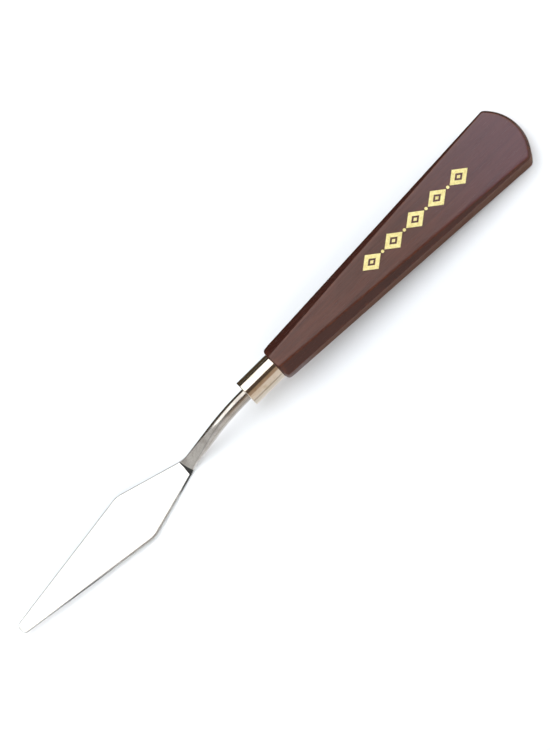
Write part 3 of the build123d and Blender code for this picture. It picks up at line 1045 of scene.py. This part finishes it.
def flat_sheet(name, along_x, along_y, height, material):
    """A level sheet of a few faces, for the floor and for the cards."""
    bm = bmesh.new()
    bmesh.ops.create_grid(bm, x_segments=8, y_segments=8, size=0.5)
    for vert in bm.verts:
        vert.co.x = along_x[0] + (vert.co.x + 0.5) * (along_x[1] - along_x[0])
        vert.co.y = along_y[0] + (vert.co.y + 0.5) * (along_y[1] - along_y[0])
        vert.co.z = height
    mesh = bpy.data.meshes.new(name)
    bm.to_mesh(mesh)
    bm.free()
    mesh.materials.append(material)
    sheet = bpy.data.objects.new(name, mesh)
    bpy.context.scene.collection.objects.link(sheet)
    return sheet


def floor_material():
    s = Shader("white_paper")
    fibre = s.noise(s.scaled(900.0), 2.0)
    s.set(Base_Color=(0.9, 0.9, 0.9, 1.0), Roughness=0.9, Specular_IOR_Level=0.1)
    s.set(Normal=s.bump(fibre, 0.00002, 0.3))
    return s.material


def card(name, along_x, along_y, height, colour):
    """A card on the floor that only shows in what the metal and the lacquer mirror."""
    s = Shader(name)
    s.set(Base_Color=colour, Roughness=1.0, Specular_IOR_Level=0.0)
    sheet = flat_sheet(name, along_x, along_y, height, s.material)
    for seen_by in ("camera", "diffuse", "transmission", "volume_scatter", "shadow"):
        setattr(sheet, "visible_" + seen_by, False)


floor_reach = (-FLOOR_HALF, FLOOR_HALF)
flat_sheet("floor", floor_reach, floor_reach, 0.0, floor_material())
card("far_card", CARD_ALONG, FAR_CARD, CARD_HEIGHT, linear(72, 62, 50))
card("near_card", CARD_ALONG, NEAR_CARD, CARD_HEIGHT, linear(176, 168, 158))
# Painted shade: in reflections, this grey strip stands in for the shaded floor beside the knife.
card("near_shade_strip", CARD_ALONG, NEAR_SHADE_STRIP, CARD_HEIGHT, linear(204, 202, 198))
# Painted shade: in the lacquer's reflection, this card stands in for the contact shadow under the
# handle's near wall.
card(
    "handle_shade_card", HANDLE_SHADE_CARD_ALONG, HANDLE_SHADE_CARD, HANDLE_SHADE_CARD_HEIGHT, linear(189, 166, 148)
)


def soft_light(name, place_at, aim_at, size, power, colour, spread=math.pi, mirrored=False):
    """A flat oval lamp at one place, facing another. It either lights the surfaces, or is only
    seen mirrored in them."""
    data = bpy.data.lights.new(name, "AREA")
    data.shape = "ELLIPSE"
    data.size, data.size_y = size
    data.energy = power
    data.color = colour
    data.spread = spread
    lamp = bpy.data.objects.new(name, data)
    bpy.context.scene.collection.objects.link(lamp)
    lamp.location = place_at
    away = Vector(place_at) - Vector(aim_at)
    lamp.rotation_euler = away.to_track_quat("Z", "Y").to_euler()
    lamp.visible_camera = False
    lamp.visible_glossy = mirrored
    lamp.visible_diffuse = not mirrored


def leaning(lean, distance):
    """The spot that far from the knife, lean from upright towards the far side."""
    return Vector((0.0, math.sin(lean), math.cos(lean))) * distance


KNIFE = (0.0, 0.0, 0.0)
soft_light("key", leaning(KEY_LEAN, KEY_DISTANCE), KNIFE, KEY_SIZE, KEY_POWER, KEY_COLOUR)
soft_light(
    "low_lamp", LOW_LAMP_PLACE, LOW_LAMP_AIM, LOW_LAMP_SIZE, LOW_LAMP_POWER, LOW_COLOUR,
    LOW_LAMP_SPREAD,
)
soft_light(
    "butt_lamp", BUTT_LAMP_PLACE, BUTT_LAMP_AIM, BUTT_LAMP_SIZE, BUTT_LAMP_POWER, LOW_COLOUR,
    BUTT_LAMP_SPREAD,
)
soft_light(
    "softbox", leaning(SOFTBOX_LEAN, SOFTBOX_DISTANCE), KNIFE, SOFTBOX_SIZE, SOFTBOX_POWER,
    SOFTBOX_COLOUR, mirrored=True,
)


def studio_world():
    """The room round the knife: a plain fill for the surfaces, a plain white for the camera,
    and for reflections dark overhead and on the far side, paler on the near side."""
    world = bpy.data.worlds.new("studio")
    world.use_nodes = True
    n = Nodes(world.node_tree)
    direction = n.add("ShaderNodeTexCoord").outputs["Generated"]
    parts = n.add("ShaderNodeSeparateXYZ", Vector=direction).outputs
    lean = n.maths("ARCTAN2", parts["Y"], parts["Z"])
    share = n.map(lean, -math.pi / 2, math.pi / 2, kind="LINEAR")

    def room(stops):
        """The room's light by lean from upright in degrees, negative towards the near side."""
        made = n.add("ShaderNodeValToRGB", Fac=share)
        elements = made.color_ramp.elements
        for index, (angle, colour) in enumerate(stops):
            position = (angle + 90) / 180
            stop = elements[index] if index < 2 else elements.new(position)
            stop.position = position
            stop.color = (*colour, 1.0)
        return made.outputs[0]

    def light(colour):
        return n.add("ShaderNodeBackground", Color=colour).outputs[0]

    def choose(factor, otherwise, light_then):
        made = n.add("ShaderNodeMixShader")
        for socket, value in zip(made.inputs, (factor, otherwise, light_then)):
            n.put(socket, value)
        return made.outputs[0]

    abreast = room((
        (-90, (0.80, 0.75, 0.70)),
        (-50, (0.78, 0.72, 0.66)),
        (-44, (0.43, 0.32, 0.24)),
        (-22, (0.36, 0.26, 0.18)),
        (-17, (0.095, 0.068, 0.050)),
        (20, (0.085, 0.062, 0.048)),
        (90, (0.060, 0.052, 0.042)),
    ))
    endways = room((
        (-90, (0.92, 0.92, 0.93)),
        (-48, (0.85, 0.85, 0.85)),
        (-22, (0.60, 0.60, 0.60)),
        (-14, (0.42, 0.42, 0.41)),
        (3, (0.42, 0.42, 0.41)),
        (12, (0.72, 0.72, 0.71)),
        (70, (0.66, 0.66, 0.65)),
        (80, (0.26, 0.26, 0.25)),
        (90, (0.14, 0.14, 0.13)),
    ))
    # The room turns from the first to the second towards the knife's two ends.
    ends = n.map(n.maths("ABSOLUTE", parts["X"]), 0.25, 0.85)
    mirrored = light(n.mix(ends, abreast, endways))
    rays = n.add("ShaderNodeLightPath").outputs
    unseen = choose(rays["Is Glossy Ray"], light(FILL_COLOUR), mirrored)
    seen = choose(rays["Is Camera Ray"], unseen, light((1.0, 1.0, 1.0, 1.0)))
    n.add("ShaderNodeOutputWorld", Surface=seen)
    return world


scene = bpy.context.scene
scene.world = studio_world()
scene.view_settings.view_transform = "Standard"
scene.view_settings.look = "None"

# ---- camera ----
# It looks down on the knife from the near side, a little towards the butt, and is rolled so
# that the knife lies aslant in the picture.
CAMERA_DISTANCE = 1.0
CAMERA_AZIMUTH = math.radians(8.408)
CAMERA_ELEVATION = math.radians(76.909)
CAMERA_ROLL = math.radians(53.559)
CAMERA_LENS = 146.6
AIM_HEIGHT = 0.006
AIM_RIGHT = 0.002177
AIM_UP = 0.001314

level = math.cos(CAMERA_ELEVATION)
back = Vector((
    math.sin(CAMERA_AZIMUTH) * level,
    -math.cos(CAMERA_AZIMUTH) * level,
    math.sin(CAMERA_ELEVATION),
))
right = Vector((math.cos(CAMERA_AZIMUTH), math.sin(CAMERA_AZIMUTH), 0.0))
up = right.cross(-back)
rolled_right = right * math.cos(CAMERA_ROLL) - up * math.sin(CAMERA_ROLL)
rolled_up = right * math.sin(CAMERA_ROLL) + up * math.cos(CAMERA_ROLL)
aim = Vector((0.0, 0.0, AIM_HEIGHT)) + rolled_right * AIM_RIGHT + rolled_up * AIM_UP
camera_data = bpy.data.cameras.new("camera")
camera_data.lens = CAMERA_LENS
camera_data.sensor_width = 36.0
camera_data.dof.use_dof = False
camera = bpy.data.objects.new("camera", camera_data)
bpy.context.scene.collection.objects.link(camera)
facing = Matrix((rolled_right, rolled_up, back)).transposed()
camera.matrix_world = Matrix.Translation(aim + back * CAMERA_DISTANCE) @ facing.to_4x4()
bpy.context.scene.camera = camera
